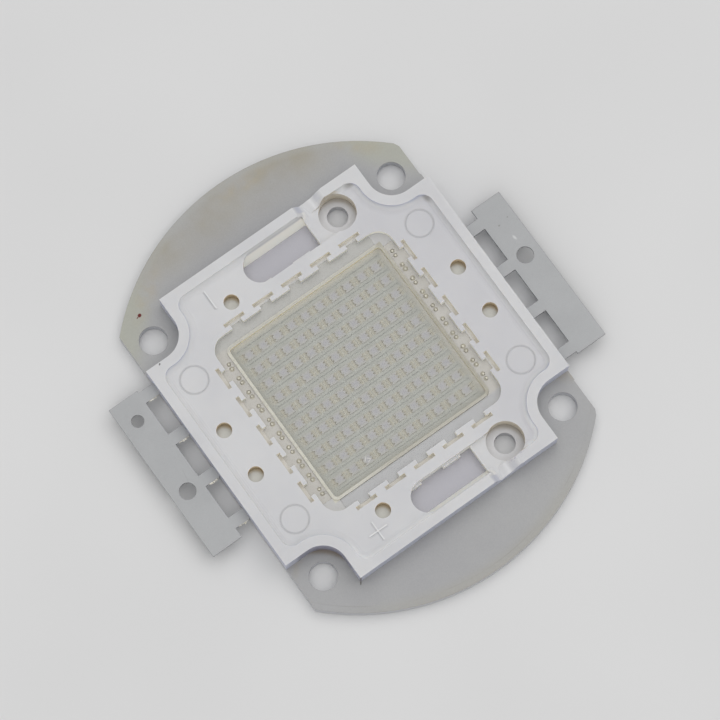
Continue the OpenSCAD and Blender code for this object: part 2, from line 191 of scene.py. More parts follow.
# Where shades start and end, in millimetres: on one axis, or out from the middle for those in r
tarnish_y = (20.5, 26.5)
low_edge_y = (-20.0, -27.5)
low_edge_r = (26.0, 27.8)
high_edge_y = (12.0, 20.0)
high_edge_r = (26.9, 27.7)
corner_x = (13.0, 17.0)
corner_y = (12.0, 18.0)
corner_r = (24.0, 26.5)
line_r = 27.25
line_y = (-13.0, -17.0)
foot_sum = (-31.3, -30.1)
dam_dim = (3.0, 9.0)
cove_x = (17.5, 16.0)
cove_y = (-15.0, -17.0)
floor_x = (4.0, 13.0)
shade_way = (0.7, 0.7)


# Colours and shader nodes

def paint(red, green, blue):
    """A colour written as it shows on a screen, from 0 to 255, as linear light."""
    def linear(value):
        share = value / 255
        return share / 12.92 if share <= 0.04045 else ((share + 0.055) / 1.055) ** 2.4
    return (linear(red), linear(green), linear(blue), 1.0)


class Finish:
    """A material, with short calls for the nodes that the finishes share. Places are in millimetres."""

    def __init__(self, name):
        self.material = bpy.data.materials.new(name)
        self.material.use_nodes = True
        self.nodes = self.material.node_tree.nodes
        self.links = self.material.node_tree.links
        self.shader = self.nodes["Principled BSDF"]
        place = self.node("TexCoord").outputs["Object"]
        self.place = self.node("VectorMath", operation="SCALE", Vector=place, Scale=1 / MM).outputs[0]
        self.x, self.y, self.z = self.node("SeparateXYZ", Vector=self.place).outputs
        self.far_x, self.far_y = self.size(self.x), self.size(self.y)
        geometry = self.node("NewGeometry")
        self.back = geometry.outputs["Backfacing"]
        self.up = self.node("SeparateXYZ", Vector=geometry.outputs["Normal"]).outputs["Z"]

    def node(self, kind, **given):
        """A new node. What names one of its inputs feeds that input, and the rest are its settings."""
        made = self.nodes.new("ShaderNode" + kind)
        feeds = {}
        for name, value in given.items():
            if hasattr(made, name):
                setattr(made, name, value)
            else:
                feeds[name] = value
        for name, value in feeds.items():
            self.feed(made.inputs[name.replace("_", " ")], value)
        return made

    def feed(self, socket, value):
        if isinstance(value, bpy.types.NodeSocket):
            self.links.new(value, socket)
        else:
            socket.default_value = value

    def feed_all(self, made, values):
        """Values for a node's inputs in order, and the node's first output."""
        for socket, value in zip(made.inputs, values):
            self.feed(socket, value)
        return made.outputs[0]

    def set(self, **values):
        """Values for the shader's own inputs, by name."""
        for name, value in values.items():
            self.feed(self.shader.inputs[name.replace("_", " ")], value)

    def show(self, surface):
        """Gives the material a surface other than its plain shader."""
        self.feed(self.nodes["Material Output"].inputs["Surface"], surface)

    def math(self, operation, *values):
        return self.feed_all(self.node("Math", operation=operation), values)

    def product(self, *values):
        result = values[0]
        for value in values[1:]:
            result = self.math("MULTIPLY", result, value)
        return result

    def either(self, *values):
        result = values[0]
        for value in values[1:]:
            result = self.math("MAXIMUM", result, value)
        return result

    def size(self, value):
        return self.math("ABSOLUTE", value)

    def ramp(self, value, start, end):
        """0 at start, 1 at end, smooth between. start may be the larger."""
        low, high = min(start, end), max(start, end)
        ends = (0.0, 1.0) if start < end else (1.0, 0.0)
        made = self.node("MapRange", interpolation_type="SMOOTHSTEP")
        return self.feed_all(made, (value, low, high, *ends))

    def mix(self, factor, first, second):
        made = self.node("Mix", data_type="RGBA")
        for index, value in ((0, factor), (6, first), (7, second)):
            self.feed(made.inputs[index], value)
        return made.outputs[2]

    def mix_shader(self, factor, first, second):
        return self.feed_all(self.node("MixShader"), (factor, first, second))

    def noise(self, scale, detail=2.0, roughness=0.5):
        """Noise with about scale bumps in a millimetre, near 0.5."""
        made = self.node("TexNoise", Vector=self.place, Scale=scale, Detail=detail, Roughness=roughness)
        return made.outputs[0]

    def bump(self, height, depth, strength):
        """Relief of that depth in millimetres on the shader's normal."""
        made = self.node("Bump", Strength=strength, Distance=depth * MM, Height=height)
        self.set(Normal=made.outputs[0])

    def rough(self, pattern, low, high):
        """Roughness that follows a noise pattern between two values."""
        span = self.node("MapRange", Value=pattern, From_Min=0.3, From_Max=0.7, To_Min=low, To_Max=high)
        self.set(Roughness=span.outputs[0])

    def tint(self, colour, share, mask, shade):
        """A colour moved towards a shade by a share of the mask."""
        return self.mix(self.product(mask, share), colour, shade)

    def between(self, value, ends, soft=0.08):
        """1 where a value lies between two ends."""
        above = self.ramp(value, ends[0] - soft, ends[0] + soft)
        return self.product(above, self.ramp(value, ends[1] + soft, ends[1] - soft))

    def inside(self, half, soft=0.02):
        """1 within a square of that half width on the plan."""
        return self.ramp(self.either(self.far_x, self.far_y), half + soft, half - soft)

    def away(self, at, x=None, y=None):
        """Distance on the plan from a place."""
        dx = self.math("SUBTRACT", x or self.x, at[0])
        dy = self.math("SUBTRACT", y or self.y, at[1])
        return self.math("SQRT", self.math("ADD", self.product(dx, dx), self.product(dy, dy)))

    def crescent(self, at, radius, reach):
        """1 along the inner side of a round hole's floor that lies towards shade_way, out to its wall."""
        middle = [place - reach * way for place, way in zip(at, shade_way)]
        return self.product(self.ramp(self.away(at), radius + 0.1, radius),
                            self.ramp(self.away(middle), radius - 0.1 * reach, radius + 0.8 * reach))

    def oval(self, at, size, turn, soft=0.35):
        """1 in an oval on the plan, of that half length and half width, fading to 0 outside it."""
        turn = math.radians(turn)
        cos, sin = math.cos(turn), math.sin(turn)
        dx = self.math("SUBTRACT", self.x, at[0])
        dy = self.math("SUBTRACT", self.y, at[1])
        long = self.math("ADD", self.product(dx, cos / size[0]), self.product(dy, sin / size[0]))
        wide = self.math("SUBTRACT", self.product(dy, cos / size[1]), self.product(dx, sin / size[1]))
        away = self.math("SQRT", self.math("ADD", self.product(long, long), self.product(wide, wide)))
        return self.ramp(away, 1 + soft, 1 - soft)

    def ovals(self, marks, soft=0.35):
        """1 in any of several ovals."""
        return self.either(*(self.oval(*mark, soft) for mark in marks))

    def bar(self, at, half):
        """1 in a straight stroke on the plan, of those half lengths in X and Y."""
        return self.product(*(self.between(axis, (middle - reach, middle + reach), 0.04)
                              for axis, middle, reach in zip((self.x, self.y), at, half)))

    def cell(self, value):
        """Distance along one axis from the middle of the nearest chip place."""
        half = chip_pitch / 2
        return self.math("WRAP", self.math("ADD", value, field_half - half), half, -half)

    def at_access_holes(self, outer, inner):
        """1 in the solder-access holes, fading in from the outer radius to the inner one."""
        return self.either(self.ramp(self.away(access_at, self.far_x, self.far_y), outer, inner),
                           self.ramp(self.away(ear_at, y=self.far_y), outer, inner))


# Finish of the base

def plated_base():
    """Dull nickel-like plating, with painted light and shade in the frame's openings, painted light on its
    sides and the pattern of the chip field.
    """
    f = Finish("plated_base")
    grain = f.noise(11, 3, 0.6)
    plain = aged_plating(f, grain)
    colour = base_marks(f, plain)
    # Painted light: the base lighter in the windows and the lens openings, and painted shade on one side of
    # each lens opening.
    lit_window = f.product(f.between(f.x, window_x), f.between(f.far_y, window_y))
    colour = f.tint(colour, 1.0, lit_window, paint(166, 165, 171))
    lens = f.ramp(f.away(lens_at, y=f.far_y), lens_r + 0.15, lens_r - 0.1)
    colour = f.tint(colour, 1.0, lens, paint(190, 190, 192))
    for side in (1, -1):
        shade = f.crescent((lens_at[0], side * lens_at[1]), lens_r, 0.7)
        colour = f.tint(colour, 0.55, shade, paint(140, 128, 106))
    colour = f.mix(f.inside(well_w / 2), colour, chip_field(f))
    # Painted light: the base's steep sides lighter than its top.
    edge = f.tint(plain, 0.8, f.ramp(f.size(f.up), 0.8, 0.3), paint(204, 205, 209))
    top = f.ramp(f.z, base_top - 0.2, base_top - 0.1)
    f.set(Base_Color=f.mix(top, edge, colour), Metallic=0.5)
    f.rough(grain, 0.5, 0.64)
    f.bump(grain, 0.004, 0.5)
    return f.material


def aged_plating(f, grain):
    """The base's plating, tarnished towards the round end at +Y and warmer along its edges."""
    out = f.away((0, 0))
    cloud = f.ramp(f.noise(0.1, 3), 0.3, 0.7)
    colour = f.mix(cloud, paint(153, 153, 154), paint(157, 157, 157))
    tarnish = f.product(f.ramp(f.y, *tarnish_y), f.ramp(f.noise(0.16, 3), 0.2, 0.75))
    colour = f.tint(colour, 0.85, tarnish, paint(144, 138, 120))
    low_edge = f.product(f.ramp(f.y, *low_edge_y), f.ramp(out, *low_edge_r))
    colour = f.tint(colour, 0.4, low_edge, paint(153, 150, 138))
    high_edge = f.product(f.ramp(f.y, *high_edge_y), f.ramp(out, *high_edge_r))
    colour = f.tint(colour, 0.5, high_edge, paint(157, 157, 153))
    corner = f.product(f.ramp(f.y, *corner_y), f.ramp(f.far_x, *corner_x), f.ramp(out, *corner_r))
    colour = f.tint(colour, 0.55, corner, paint(160, 161, 146))
    return f.tint(colour, 0.08, f.ramp(grain, 0.35, 0.7), paint(126, 126, 126))


def base_marks(f, colour):
    """Stains, a red-brown speck, painted shade of the gap at the frame's corner, painted shade in the low
    corner's recess and a faint line by the edge.
    """
    patchy = f.ramp(f.noise(0.9, 3), 0.25, 0.7)
    for stain in base_stains:
        colour = f.tint(colour, 0.3, f.product(f.oval(*stain, 0.8), patchy), paint(160, 147, 118))
    speck = f.either(f.oval(*rust_speck, 0.2), f.oval(*rust_tail, 0.4))
    colour = f.tint(colour, 1.0, speck, paint(92, 30, 28))
    # Painted shade of the gap at the frame's corner.
    colour = f.tint(colour, 0.75, f.oval(*corner_gap_shade), paint(74, 69, 62))
    foot = f.product(f.crescent(low_corner_at, recess_r, 0.8), f.ramp(f.math("ADD", f.x, f.y), *foot_sum))
    colour = f.tint(colour, 0.65, foot, paint(118, 103, 84))
    off_line = f.size(f.math("SUBTRACT", f.away((0, 0)), line_r))
    broken = f.ramp(f.noise(0.15, 2), 0.42, 0.6)
    line = f.product(f.ramp(off_line, 0.09, 0.03), f.ramp(f.y, *line_y), broken)
    return f.tint(colour, 0.25, line, paint(130, 128, 122))


def chip_field(f):
    """The well's floor: soldered bands between the chips of a string, a fine grid between the strings, painted
    light along the high sides and painted shade along the low sides.
    """
    across, along = f.size(f.cell(f.y)), f.size(f.cell(f.x))
    half = chip_pitch / 2
    colour = f.mix(f.ramp(f.noise(0.5, 2), 0.3, 0.7), paint(147, 148, 142), paint(152, 153, 147))
    bands = f.product(f.ramp(across, *solder_half), f.ramp(f.far_x, field_half + 0.6, field_half - 0.2))
    colour = f.tint(colour, 0.85, bands, paint(157, 153, 139))
    in_field = f.inside(field_half + 0.06)
    light_lines = f.product(f.ramp(along, half - 0.14, half - 0.03), in_field)
    colour = f.tint(colour, 0.4, light_lines, paint(171, 173, 167))
    dark_lines = f.product(f.ramp(across, half - 0.16, half - 0.03), in_field)
    colour = f.tint(colour, 0.45, dark_lines, paint(127, 130, 125))
    # Painted light along the well's high sides, painted shade along its low sides.
    lit_high_sides = f.ramp(f.either(f.x, f.y), field_half, well_w / 2)
    colour = f.tint(colour, 0.8, lit_high_sides, paint(192, 189, 181))
    shaded_low_sides = f.ramp(f.math("MINIMUM", f.x, f.y), -field_half, -well_w / 2)
    colour = f.tint(colour, 0.7, shaded_low_sides, paint(139, 140, 134))
    return f.tint(colour, 0.7, f.ovals(well_specks), paint(105, 98, 84))


# Finish of the moulding

def white_moulding(name, translucent):
    """White thermoplastic with a fine moulded skin, with painted blue shade on its outer walls and painted
    light and shade in the deep cuts.
    """
    f = Finish(name)
    skin = f.noise(7, 3, 0.55)
    cloud = f.ramp(f.noise(0.16, 2), 0.3, 0.7)
    colour = f.mix(cloud, paint(206, 206, 208), paint(211, 211, 212))
    steep = f.ramp(f.size(f.up), 0.85, 0.3)
    from_hole = f.away(corner_hole_at, f.far_x, f.far_y)
    off_recess = f.ramp(from_hole, recess_reach - 0.2, recess_reach + 0.2)
    inner = f.product(f.inside(frame_half - skin_t, 0.1), off_recess)
    outer = f.product(steep, f.math("SUBTRACT", 1.0, inner))
    # Painted shade: the outer walls tinted blue-grey.
    colour = f.tint(colour, 0.7, outer, paint(178, 182, 203))
    colour = shade_cuts(f, colour, steep, inner)
    colour = shade_dam(f, colour, steep)
    colour = shade_tray(f, colour, steep)
    colour = moulding_marks(f, colour, outer)
    f.set(Base_Color=colour, Specular_IOR_Level=0.4, Subsurface_Weight=translucent)
    f.set(Subsurface_Scale=0.2 * MM, Subsurface_Radius=(1.0, 0.95, 0.9))
    f.rough(skin, 0.42, 0.56)
    f.bump(skin, 0.006, 0.6)
    return f.material


def shade_cuts(f, colour, steep, inner):
    """Painted light on the walls of the windows and keys, and painted brown shade on those of the
    solder-access holes.
    """
    # Painted light on the walls of the windows and keys.
    deep = f.product(steep, inner, f.ramp(f.z, tray_floor - 0.05, tray_floor - 0.5))
    colour = f.tint(colour, 0.95, deep, paint(250, 247, 239))
    keys = f.product(f.inside(cavity_half, 0.1), f.ramp(f.z, tray_floor - 0.02, tray_floor - 0.2))
    colour = f.tint(colour, 0.95, f.product(keys, steep), paint(252, 246, 230))
    # Painted brown shade on the access holes' walls.
    access = f.at_access_holes(access_r + 0.2, access_r + 0.1)
    return f.tint(colour, 0.85, f.product(access, steep), paint(216, 197, 163))


def shade_dam(f, colour, steep):
    """The ledge round the cavity, and the cream dam with painted light and shade on each side of it and
    painted light on its inner wall.
    """
    ledge = f.product(f.inside(key_in - 0.4), f.ramp(f.z, lead_top + 0.2, lead_top + 0.1))
    colour = f.tint(colour, 0.7, ledge, paint(180, 180, 182))
    dam = f.product(f.inside(well_w / 2 + dam_t + 0.05), f.ramp(f.z, dam_top + 0.15, dam_top + 0.02))
    colour = f.tint(colour, 0.8, dam, paint(193, 191, 178))
    # Painted light and shade on the dam's sides, each by how the light falls on it.
    dim = f.product(dam, f.ramp(f.math("SUBTRACT", f.x, f.y), *dam_dim))
    colour = f.tint(colour, 0.6, dim, paint(164, 160, 147))
    left = f.product(dam, f.ramp(f.x, -dam_side[0], -dam_side[1]))
    colour = f.tint(colour, 0.9, left, paint(204, 202, 191))
    colour = f.tint(colour, 0.5, f.product(dam, f.ramp(f.y, *dam_side)), paint(175, 174, 165))
    # Painted light on the dam's inner wall.
    lit_dam_wall = f.product(steep, f.inside(well_w / 2 + 0.1, 0.05))
    colour = f.tint(colour, 0.9, lit_dam_wall, paint(244, 232, 192))
    return f.tint(colour, 0.5, f.product(dam, f.ramp(f.x, *dam_side)), paint(154, 148, 129))


def shade_tray(f, colour, steep):
    """Painted light on the cove under the rim, painted shade on the lens openings' walls and in two corners,
    the signs, and painted shade on the floor and in the round marks' grooves.
    """
    # Painted light on the cove under the rim, more on its low side.
    lit_cove = f.product(f.ramp(f.z, tray_floor, tray_floor + 0.4), f.ramp(f.z, rim_top, rim_top - 0.4))
    lit_cove = f.product(lit_cove, f.inside(frame_half - rim_w), f.ramp(f.x, *cove_x))
    colour = f.tint(colour, 0.5, lit_cove, paint(226, 226, 226))
    colour = f.tint(colour, 0.5, f.product(lit_cove, f.ramp(f.y, *cove_y)), paint(246, 246, 246))
    # Painted shade on the lens openings' walls.
    lens = f.product(f.ramp(f.away(lens_at, y=f.far_y), lens_r + 0.3, lens_r + 0.15), steep)
    colour = f.tint(colour, 0.8, lens, paint(204, 194, 175))
    # Painted shade in two corners under the rim.
    corners = f.product(f.ovals(tray_corner_shades, 0.7), f.ramp(f.z, rim_top - 0.05, rim_top - 0.3))
    colour = f.tint(colour, 0.6, corners, paint(136, 133, 129))
    colour = polarity_signs(f, colour)
    # Painted shade on the tray's floor towards +X.
    floor = f.between(f.z, (tray_floor - 0.1, tray_floor + 0.1), 0.05)
    colour = f.tint(colour, 0.3, f.product(floor, f.ramp(f.x, *floor_x)), paint(190, 189, 195))
    # Painted shade in the grooves of the round marks.
    off_mark = f.size(f.math("SUBTRACT", f.away(mark_at, f.far_x, f.far_y), mark_r))
    return f.tint(colour, 0.34, f.ramp(off_mark, 0.24, 0.04), paint(165, 164, 166))


def polarity_signs(f, colour):
    """The raised strokes of the two signs a little lighter, a painted highlight, each with painted shade along
    its far side.
    """
    x, y = sign_at
    upright, level = (stroke_half, sign_half), (sign_half, stroke_half)
    for at, half, share in (((x, y), upright, 0.4), ((x, -y), upright, 0.22), ((x, -y), level, 0.18)):
        shade_at = [place - stroke_shade * (reach < sign_half) for place, reach in zip(at, half)]
        colour = f.tint(colour, share, f.bar(shade_at, half), paint(164, 164, 168))
        colour = f.tint(colour, 0.5, f.bar(at, half), paint(226, 226, 226))
    return colour


def moulding_marks(f, colour, outer):
    """A dark speck on the rim, painted shade on the low corner's wall and in the gap beside it, and bloom by
    one gate.
    """
    colour = f.tint(colour, 0.9, f.oval(*rim_speck), paint(70, 62, 56))
    # Painted shade on the low corner's outer wall.
    low_corner_shade = f.ramp(f.away(low_corner_at), recess_r + 0.5, recess_r + 0.1)
    colour = f.tint(colour, 0.6, f.product(low_corner_shade, outer), paint(112, 108, 128))
    # Painted shade of the gap at the frame's corner.
    gap_shade = f.product(f.oval(*frame_gap_shade), f.ramp(f.z, rim_top - 0.1, rim_top - 0.3))
    colour = f.tint(colour, 0.8, gap_shade, paint(84, 79, 74))
    bloom = f.product(f.oval(*gate_bloom, 0.6), f.ramp(f.noise(4, 2), 0.52, 0.62))
    return f.tint(colour, 0.5, bloom, paint(160, 155, 175))


# Finishes of the leads, chips, wires and silicone

def plated_lead():
    """Bright plating on the lead sheet, painted lighter in the access holes with painted shade on one side of
    each, and marks on the tabs.
    """
    f = Finish("plated_lead")
    cloud = f.ramp(f.noise(0.2, 3), 0.3, 0.7)
    grain = f.noise(12, 3, 0.6)
    open_air = f.mix(cloud, paint(147, 148, 149), paint(151, 152, 153))
    colour = f.mix(f.inside(cavity_half, 0.2), open_air, sealed_plating(f, cloud))
    # Painted light in the access holes, and painted shade on one side of each.
    access = f.at_access_holes(access_r + 0.1, access_r - 0.1)
    colour = f.tint(colour, 0.9, access, paint(175, 175, 170))
    for hole in access_holes:
        colour = f.tint(colour, 0.75, f.crescent(hole, access_r, 0.55), paint(150, 132, 98))
    colour = f.tint(colour, 0.12, f.ramp(grain, 0.35, 0.7), paint(138, 138, 138))
    colour = f.tint(colour, 0.4, f.oval(*tab_rub, 0.6), paint(204, 204, 204))
    colour = f.tint(colour, 0.6, f.ovals(tab_spots), paint(110, 108, 104))
    colour = f.tint(colour, 0.3, f.oval(*tab_scratch), paint(128, 128, 128))
    f.set(Base_Color=colour, Metallic=0.7)
    f.rough(grain, 0.42, 0.56)
    f.bump(grain, 0.003, 0.5)
    return f.material


def sealed_plating(f, cloud):
    """The leads' plating under the silicone, each band in its own light, and warm in the keys' heads."""
    colour = f.mix(cloud, paint(156, 153, 148), paint(161, 158, 153))
    colour = f.tint(colour, 0.8, f.ramp(f.y, *band_side), paint(148, 148, 146))
    colour = f.tint(colour, 0.8, f.ramp(f.y, -band_side[0], -band_side[1]), paint(147, 148, 152))
    heads = f.ramp(f.either(f.far_x, f.far_y), key_in, key_in + 0.1)
    return f.tint(colour, 0.9, heads, paint(206, 197, 178))


def torn_metal():
    """Bright ragged metal of a punched edge."""
    f = Finish("torn_metal")
    patchy = f.noise(5, 3)
    tone = f.mix(f.ramp(patchy, 0.35, 0.65), paint(168, 164, 150), paint(214, 212, 204))
    f.set(Base_Color=tone, Metallic=0.5)
    f.rough(patchy, 0.3, 0.5)
    return f.material


def emitter_chip():
    """Pale lilac chip face, warmer to its edges, over clear sides painted lighter than the face as painted
    light, and one scratched chip.
    """
    f = Finish("emitter_chip")
    edge = f.either(f.size(f.cell(f.y)), f.size(f.cell(f.x)))
    half = chip_w / 2
    face = f.mix(f.ramp(edge, 0.1, half), paint(151, 150, 154), paint(157, 156, 151))
    face = f.tint(face, 0.4, f.ramp(edge, half - 0.06, half - 0.02), paint(144, 142, 135))
    face = f.tint(face, 0.7, f.ovals(chip_scratches), paint(205, 203, 200))
    # Painted light: the chip's sides lighter than its face.
    colour = f.mix(f.ramp(f.up, 0.8, 0.3), face, paint(171, 169, 162))
    f.set(Base_Color=colour, Specular_IOR_Level=0.5)
    f.rough(f.noise(5, 2), 0.22, 0.3)
    return f.material


def gold_wire():
    """Drawn gold that takes the tone of what it spans, with painted shade on its flanks out on the leads."""
    f = Finish("gold_wire")
    patchy = f.noise(4, 2)
    tone = f.mix(f.ramp(patchy, 0.3, 0.7), paint(174, 170, 156), paint(186, 182, 168))
    # Painted shade on the wire's flanks.
    shaded_flank = f.product(f.ramp(f.up, 0.95, 0.6), f.ramp(f.far_x, well_w / 2, well_w / 2 + dam_t))
    f.set(Base_Color=f.tint(tone, 0.7, shaded_flank, paint(130, 123, 102)), Metallic=0.7)
    f.rough(patchy, 0.34, 0.44)
    return f.material


def gold_bond():
    """Pressed gold of the bonds, darker than the wire."""
    f = Finish("gold_bond")
    patchy = f.noise(3, 2)
    tone = f.mix(f.ramp(patchy, 0.3, 0.7), paint(137, 132, 115), paint(158, 152, 135))
    f.set(Base_Color=tone, Metallic=0.7)
    f.rough(patchy, 0.36, 0.46)
    return f.material


def clear_silicone():
    """Clear filling with a little haze, which bends what the eye sees and lets the lamps straight through."""
    f = Finish("clear_silicone")
    f.set(Base_Color=(0.985, 0.985, 0.97, 1.0), Roughness=0.03, IOR=1.41, Transmission_Weight=1.0)
    f.bump(f.noise(0.35, 1), 0.01, 0.25)
    # Painted light: thicker, warmer haze over the keys' heads, lifting their shade.
    heads = f.ramp(f.either(f.far_x, f.far_y), key_in - 0.03, key_in + 0.05)
    haze = f.node("BsdfDiffuse", Color=f.mix(heads, paint(222, 221, 214), paint(205, 193, 168)))
    cloudy = f.math("MULTIPLY_ADD", heads, 0.2, 0.07)
    seen = f.mix_shader(cloudy, f.shader.outputs[0], haze.outputs[0])
    eye = f.node("LightPath").outputs["Is Camera Ray"]
    f.show(f.mix_shader(eye, f.node("BsdfTransparent").outputs[0], seen))
    return f.material


# Shapes

def rounded_square(width, radius, steps=8):
    """Corner points of a square with round corners, in order, about the origin."""
    points = []
    reach = width / 2 - radius
    for quarter, (x, y) in enumerate(((1, 1), (-1, 1), (-1, -1), (1, -1))):
        for step in range(steps + 1):
            turn = math.radians(90) * (quarter + step / steps)
            points.append((x * reach + radius * math.cos(turn), y * reach + radius * math.sin(turn)))
    return points


def outline_at_top(node, height):
    """The rim of a node's flat top, as points on the plan in anticlockwise order."""
    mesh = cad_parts[node].data
    sides = set()
    for face in mesh.polygons:
        corners = [mesh.vertices[i].co / MM for i in face.vertices]
        if all(abs(corner.z - height) < embed / 10 for corner in corners):
            spots = [(round(c.x, 3), round(c.y, 3)) for c in corners]
            sides.update(zip(spots, spots[1:] + spots[:1]))
    after = {a: b for a, b in sides if (b, a) not in sides}
    start = min(after)
    loop = [start]
    while after[loop[-1]] != start:
        loop.append(after[loop[-1]])
    area = sum(a[0] * b[1] - b[0] * a[1] for a, b in zip(loop, loop[1:] + loop[:1]))
    if area < 0:
        loop.reverse()
    return [Vector(spot) for spot in loop]


def pushed_out(loop, distance):
    """A closed outline, anticlockwise, with every side moved outwards by a distance."""
    moved = []
    for before, here, after in zip(loop[-1:] + loop[:-1], loop, loop[1:] + loop[:1]):
        first = (here - before).normalized()
        second = (after - here).normalized()
        normals = [Vector((side.y, -side.x)) for side in (first, second)]
        middle = normals[0] + normals[1]
        moved.append(here + middle * (2 * distance / max(middle.length_squared, 0.5)))
    return moved


def ring(shape, points, height):
    """A closed ring of vertices and edges at a height."""
    made = [shape.verts.new((x, y, height)) for x, y in points]
    edges = [shape.edges.new(pair) for pair in zip(made, made[1:] + made[:1])]
    return made, edges


def wall(shape, low, high):
    """Faces between two rings of as many vertices."""
    for a, b, c, d in zip(low, low[1:] + low[:1], high[1:] + high[:1], high):
        shape.faces.new((a, b, c, d))


def sheet(shape, points, width):
    """Faces over a grid of vertices, given row by row."""
    for first in range(0, len(points) - width, width):
        here = points[first:first + width]
        there = points[first + width:first + 2 * width]
        for a, b, c, d in zip(here, here[1:], there[1:], there):
            shape.faces.new((a, b, c, d))


def dome(shape, at, diameter, height, around=12, rings=4):
    """A flattened ball that sits on a face."""
    circles = []
    for step in range(rings):
        turn = math.radians(90) * step / rings
        radius = diameter / 2 * math.cos(turn)
        level = at.z - embed + (height + embed) * math.sin(turn)
        circles.append([
            shape.verts.new((at.x + radius * math.cos(a), at.y + radius * math.sin(a), level))
            for a in (math.tau * i / around for i in range(around))
        ])
    for low, high in zip(circles, circles[1:]):
        wall(shape, low, high)
    shape.faces.new(circles[0][::-1])
    tip = shape.verts.new((at.x, at.y, at.z + height))
    for a, b in zip(circles[-1], circles[-1][1:] + circles[-1][:1]):
        shape.faces.new((a, b, tip))


def rise(value, start, end):
    """0 at start, 1 at end, smooth between."""
    share = min(1.0, max(0.0, (value - start) / (end - start)))
    return share * share * (3 - 2 * share)


def moulded_patch(shape, side, ends, inner, height):
    """A solid patch on a gate's floor, from the frame's outer face in to a line, under a given surface."""
    steps_x, steps_y = patch_steps
    width = steps_y + 1
    outer = frame_half - patch_inset
    tops, feet = [], []
    for i in range(steps_x + 1):
        x = ends[0] + (ends[1] - ends[0]) * i / steps_x
        for j in range(width):
            y = outer + (inner(x) - outer) * j / steps_y
            tops.append(shape.verts.new((x, side * y, height(x, y))))
            feet.append(shape.verts.new((x, side * y, gate_floor - patch_depth)))
    sheet(shape, tops, width)
    sheet(shape, feet, width)
    border = list(range(width))
    border += [i * width + steps_y for i in range(1, steps_x + 1)]
    border += [steps_x * width + j for j in range(steps_y - 1, -1, -1)]
    border += [i * width for i in range(steps_x - 1, 0, -1)]
    wall(shape, [feet[i] for i in border], [tops[i] for i in border])


# Pieces

def add_piece(name, shape, material, smooth_below=None):
    """A bmesh in millimetres as a piece on the object's one body, smooth where faces meet below an angle."""
    bmesh.ops.recalc_face_normals(shape, faces=shape.faces)
    bmesh.ops.scale(shape, vec=(MM, MM, MM), verts=shape.verts)
    mesh = bpy.data.meshes.new(name)
    shape.to_mesh(mesh)
    shape.free()
    if smooth_below is not None:
        mesh.shade_smooth()
        mesh.set_sharp_from_angle(angle=math.radians(smooth_below))
    mesh.materials.append(material)
    piece = bpy.data.objects.new(name, mesh)
    bpy.context.scene.collection.objects.link(piece)
    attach(piece, "root")
    return piece


def silicone_fill(material):
    """The clear filling: cavity and keys above the leads, the well below them, and a hollow over the dam."""
    shape = bmesh.new()
    outer = pushed_out(outline_at_top("encapsulant", fill_top), embed)
    top, top_edges = ring(shape, outer, fill_top)
    low, low_edges = ring(shape, outer, lead_top - embed)
    wall(shape, low, top)
    bmesh.ops.triangle_fill(shape, edges=top_edges, use_beauty=True)
    dam_out = rounded_square(well_w + 2 * dam_t - 2 * embed, well_r + dam_t)
    dam_in = rounded_square(well_w + 2 * embed, well_r)
    foot, foot_edges = ring(shape, dam_out, lead_top - embed)
    crest, _ = ring(shape, dam_out, dam_top - embed)
    lip, _ = ring(shape, dam_in, dam_top - embed)
    floor, floor_edges = ring(shape, dam_in, base_top - embed)
    bmesh.ops.triangle_fill(shape, edges=low_edges + foot_edges, use_beauty=True)
    wall(shape, foot, crest)
    wall(shape, crest, lip)
    wall(shape, lip, floor)
    bmesh.ops.triangle_fill(shape, edges=floor_edges, use_beauty=True)
    piece = add_piece("silicone_fill", shape, material, fill_smooth)
    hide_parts("encapsulant")


def ball_bonds(material):
    """The flattened balls that join the wires to the chips, four on each chip."""
    for number, row in enumerate(chip_rows, 1):
        shape = bmesh.new()
        low, high = box(row)
        middle = (low.y + high.y) / 2
        for chip in range(chip_n):
            x = low.x + chip_w / 2 + chip * chip_pitch
            for side in (-0.5, 0.5):
                dome(shape, Vector((x + pad_reach, middle + side * pad_pair_out, chip_top)), ball_d, ball_h)
                dome(shape, Vector((x - pad_reach, middle + side * pad_pair_in, chip_top)), ball_d, ball_h)
        add_piece(f"ball_bonds_{number:02d}", shape, material, bond_smooth)


def stitch_bonds(material):
    """The flattened feet of the wires on the leads, each a little off true."""
    draw = random.Random(3)
    off_x, off_y = stitch_off
    shape = bmesh.new()
    for row in wire_rows:
        low, high = box(row)
        for x in (low.x + foot_d / 2, high.x - foot_d / 2):
            for y in (low.y + foot_d / 2, high.y - foot_d / 2):
                at = Vector((x + draw.uniform(-off_x, off_x), y + draw.uniform(-off_y, off_y), lead_top))
                dome(shape, at, stitch_d * draw.uniform(*stitch_sizes), stitch_h)
    add_piece("stitch_bonds", shape, material, bond_smooth)


def shear_burrs(material):
    """Ragged slivers that the punch left along one side of the negative lead's legs."""
    draw = random.Random(5)
    shape = bmesh.new()
    for y in leg_y:
        sections = []
        for step in range(burr_steps + 1):
            shift = burr_jitter * draw.random() * (0 < step < burr_steps)
            x = leg_x[0] + (leg_x[1] - leg_x[0]) * (step + shift) / burr_steps
            along = burr_taper + (1 - 2 * burr_taper) * step / burr_steps
            out = draw.uniform(*burr_reach) * math.sin(math.pi * along)
            top = lead_top - draw.uniform(*burr_below)
            low = top - draw.uniform(*burr_t)
            corners = ((y + embed, top + burr_bank), (y - out, top),
                       (y - out, low), (y + embed, low - burr_bank))
            sections.append([shape.verts.new((x, *corner)) for corner in corners])
        for here, there in zip(sections, sections[1:]):
            wall(shape, here, there)
        shape.faces.new(sections[0])
        shape.faces.new(sections[-1])
    add_piece("shear_burrs", shape, material)


